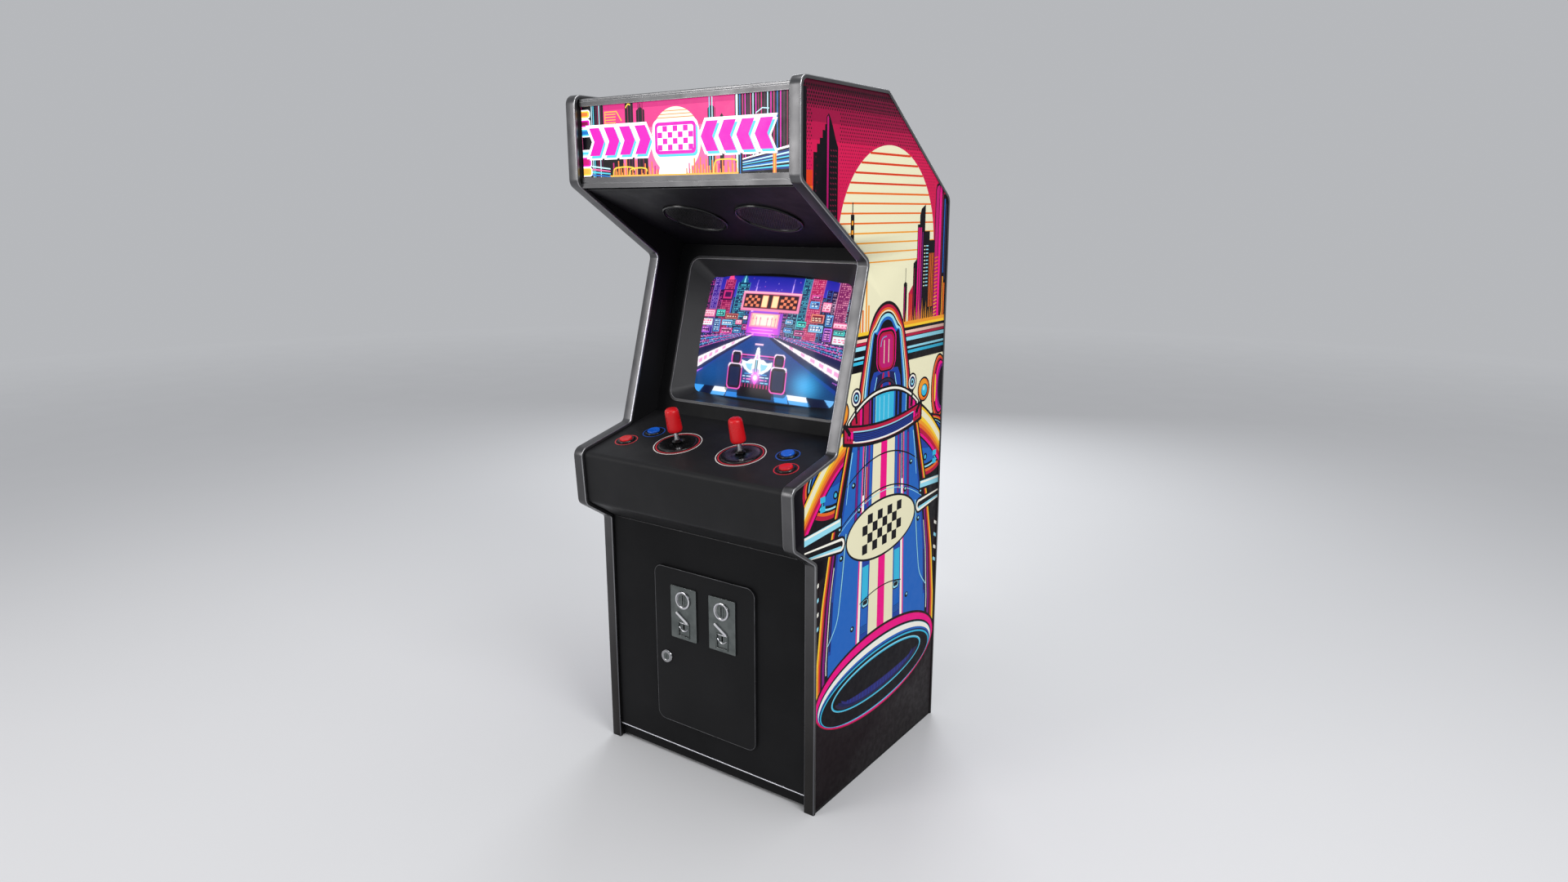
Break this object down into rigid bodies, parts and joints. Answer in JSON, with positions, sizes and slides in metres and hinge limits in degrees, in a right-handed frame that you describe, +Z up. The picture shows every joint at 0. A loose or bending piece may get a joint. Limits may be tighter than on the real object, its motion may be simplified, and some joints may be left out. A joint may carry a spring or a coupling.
{
  "type": "upright arcade racing cabinet",
  "caption": "Tall stand-up arcade game cabinet with a lit header, leaning screen, sloped control deck with joysticks and push buttons, and a hinged coin door.",
  "frame": {"origin": "on the floor, at the centre of the cabinet's bounding rectangle seen from above", "axes": "+Z up; the player stands on the -Y side looking along +Y; +X is the player's right hand side"},
  "size_m": [0.716, 0.7618, 1.8],
  "materials": {
    "cabinet_black": "charcoal paint over board, satin",
    "bare_board": "unpainted board",
    "edge_metal": "gunmetal, worn bright on its edges",
    "side_print": "printed sheet, satin",
    "marquee_print": "printed sheet lit from behind",
    "lamp_glass": "frosted tube",
    "white_plastic": "moulded",
    "grille_black": "satin black, perforated",
    "driver_black": "paper cone and pressed basket",
    "bezel_plastic": "satin moulding",
    "tube_glass": "polished front",
    "zinc_steel": "zinc plated",
    "panel_black": "fine textured powder coat",
    "button_black": "moulded gloss",
    "button_red": "moulded gloss",
    "button_blue": "moulded gloss",
    "joystick_black": "moulded",
    "disc_black": "polished",
    "bright_steel": "plated",
    "handle_red": "moulded gloss",
    "door_black": "textured powder coat",
    "coin_steel": "satin cast metal",
    "inlet_black": "moulded",
    "circuit_green": "solder mask"
  },
  "bodies": {
    "cabinet": {"side_panel_left": "cabinet_black", "side_panel_right": "cabinet_black", "top_panel": "cabinet_black", "rear_slope_panel": "cabinet_black", "rear_panel": "cabinet_black", "kick_panel": "cabinet_black", "toe_board": "cabinet_black", "speaker_panel": "cabinet_black", "monitor_surround": "cabinet_black", "bottom_panel": "bare_board", "edge_trim_left": "edge_metal", "edge_trim_right": "edge_metal", "marquee_top_retainer": "edge_metal", "marquee_bottom_retainer": "edge_metal", "side_art_left": "side_print", "side_art_right": "side_print", "marquee_glass": "marquee_print", "marquee_lamp": "lamp_glass", "marquee_lamp_holder": "white_plastic", "speaker_grille_left": "grille_black", "speaker_grille_right": "grille_black", "speaker_driver_left": "driver_black", "speaker_driver_right": "driver_black", "monitor_bezel": "bezel_plastic", "picture_tube": "tube_glass", "monitor_chassis": "zinc_steel", "cash_box": "zinc_steel", "power_supply": "zinc_steel", "control_panel": "panel_black", "button_housing_red_left": "button_black", "button_housing_blue_left": "button_black", "button_housing_blue_right": "button_black", "button_housing_red_right": "button_black", "joystick_base_left": "joystick_black", "joystick_base_right": "joystick_black", "joystick_disc_left": "disc_black", "joystick_disc_right": "disc_black", "coin_door_frame": "door_black", "power_inlet": "inlet_black", "game_board": "circuit_green"},
    "coin_door": {"coin_door": "door_black", "coin_plate_left": "coin_steel", "coin_plate_right": "coin_steel"},
    "coin_door_lock": {"coin_door_lock": "bright_steel"},
    "coin_reject_lever_left": {"coin_reject_lever_left": "bright_steel"},
    "coin_reject_lever_right": {"coin_reject_lever_right": "bright_steel"},
    "coin_return_flap_left": {"coin_return_flap_left": "coin_steel"},
    "coin_return_flap_right": {"coin_return_flap_right": "coin_steel"},
    "rear_door": {"rear_door": "door_black"},
    "rear_door_lock": {"rear_door_lock": "bright_steel"},
    "joystick_gimbal_left": {"joystick_gimbal_left": "joystick_black"},
    "joystick_left": {"joystick_shaft_left": "bright_steel", "joystick_handle_left": "handle_red"},
    "joystick_gimbal_right": {"joystick_gimbal_right": "joystick_black"},
    "joystick_right": {"joystick_shaft_right": "bright_steel", "joystick_handle_right": "handle_red"},
    "button_red_left": {"button_plunger_red_left": "button_red"},
    "button_blue_left": {"button_plunger_blue_left": "button_blue"},
    "button_blue_right": {"button_plunger_blue_right": "button_blue"},
    "button_red_right": {"button_plunger_red_right": "button_red"}
  },
  "joints": [
    {"name": "joystick_left_up_down", "type": "hinge", "parent": "cabinet", "child": "joystick_gimbal_left", "pos_m": [-0.1055, -0.23776, 0.89], "axis": [1, 0, 0], "range_deg": [-10, 10], "stiffness_Nm_per_rad": 1.5},
    {"name": "joystick_left_left_right", "type": "hinge", "parent": "joystick_gimbal_left", "child": "joystick_left", "pos_m": [-0.1055, -0.23776, 0.89], "axis": [0, 0.9734, 0.2293], "range_deg": [-10, 10], "stiffness_Nm_per_rad": 1.5},
    {"name": "joystick_right_up_down", "type": "hinge", "parent": "cabinet", "child": "joystick_gimbal_right", "pos_m": [0.1055, -0.23776, 0.89], "axis": [1, 0, 0], "range_deg": [-10, 10], "stiffness_Nm_per_rad": 1.5},
    {"name": "joystick_right_left_right", "type": "hinge", "parent": "joystick_gimbal_right", "child": "joystick_right", "pos_m": [0.1055, -0.23776, 0.89], "axis": [0, 0.9734, 0.2293], "range_deg": [-10, 10], "stiffness_Nm_per_rad": 1.5},
    {"name": "button_red_left_press", "type": "slide", "parent": "cabinet", "child": "button_red_left", "axis": [0, 0.2293, -0.9734], "range_m": [0, 0.004], "stiffness_N_per_m": 200, "springref_m": -0.006},
    {"name": "button_blue_left_press", "type": "slide", "parent": "cabinet", "child": "button_blue_left", "axis": [0, 0.2293, -0.9734], "range_m": [0, 0.004], "stiffness_N_per_m": 200, "springref_m": -0.006},
    {"name": "button_blue_right_press", "type": "slide", "parent": "cabinet", "child": "button_blue_right", "axis": [0, 0.2293, -0.9734], "range_m": [0, 0.004], "stiffness_N_per_m": 200, "springref_m": -0.006},
    {"name": "button_red_right_press", "type": "slide", "parent": "cabinet", "child": "button_red_right", "axis": [0, 0.2293, -0.9734], "range_m": [0, 0.004], "stiffness_N_per_m": 200, "springref_m": -0.006},
    {"name": "coin_door_hinge", "type": "hinge", "parent": "cabinet", "child": "coin_door", "pos_m": [0.1705, -0.273, 0.3465], "axis": [0, 0, 1], "range_deg": [0, 110]},
    {"name": "coin_door_lock_turn", "type": "hinge", "parent": "coin_door", "child": "coin_door_lock", "pos_m": [-0.1335, -0.278, 0.312], "axis": [0, 1, 0], "range_deg": [0, 90]},
    {"name": "coin_reject_lever_left_press", "type": "hinge", "parent": "coin_door", "child": "coin_reject_lever_left", "pos_m": [-0.0865, -0.2823, 0.453], "axis": [0, 1, 0], "range_deg": [0, 18], "stiffness_Nm_per_rad": 0.05, "springref_deg": -17.19},
    {"name": "coin_return_flap_left_swing", "type": "hinge", "parent": "coin_door", "child": "coin_return_flap_left", "pos_m": [-0.0665, -0.27985, 0.4246], "axis": [1, 0, 0], "range_deg": [0, 60]},
    {"name": "coin_reject_lever_right_press", "type": "hinge", "parent": "coin_door", "child": "coin_reject_lever_right", "pos_m": [0.0465, -0.2823, 0.453], "axis": [0, 1, 0], "range_deg": [0, 18], "stiffness_Nm_per_rad": 0.05, "springref_deg": -17.19},
    {"name": "coin_return_flap_right_swing", "type": "hinge", "parent": "coin_door", "child": "coin_return_flap_right", "pos_m": [0.0665, -0.27985, 0.4246], "axis": [1, 0, 0], "range_deg": [0, 60]},
    {"name": "rear_door_hinge", "type": "hinge", "parent": "cabinet", "child": "rear_door", "pos_m": [0.2472, 0.3755, 0.725], "axis": [0, 0, -1], "range_deg": [0, 110]},
    {"name": "rear_door_lock_turn", "type": "hinge", "parent": "rear_door", "child": "rear_door_lock", "pos_m": [-0.206, 0.3743, 0.725], "axis": [0, 1, 0], "range_deg": [0, 90]}
  ]
}
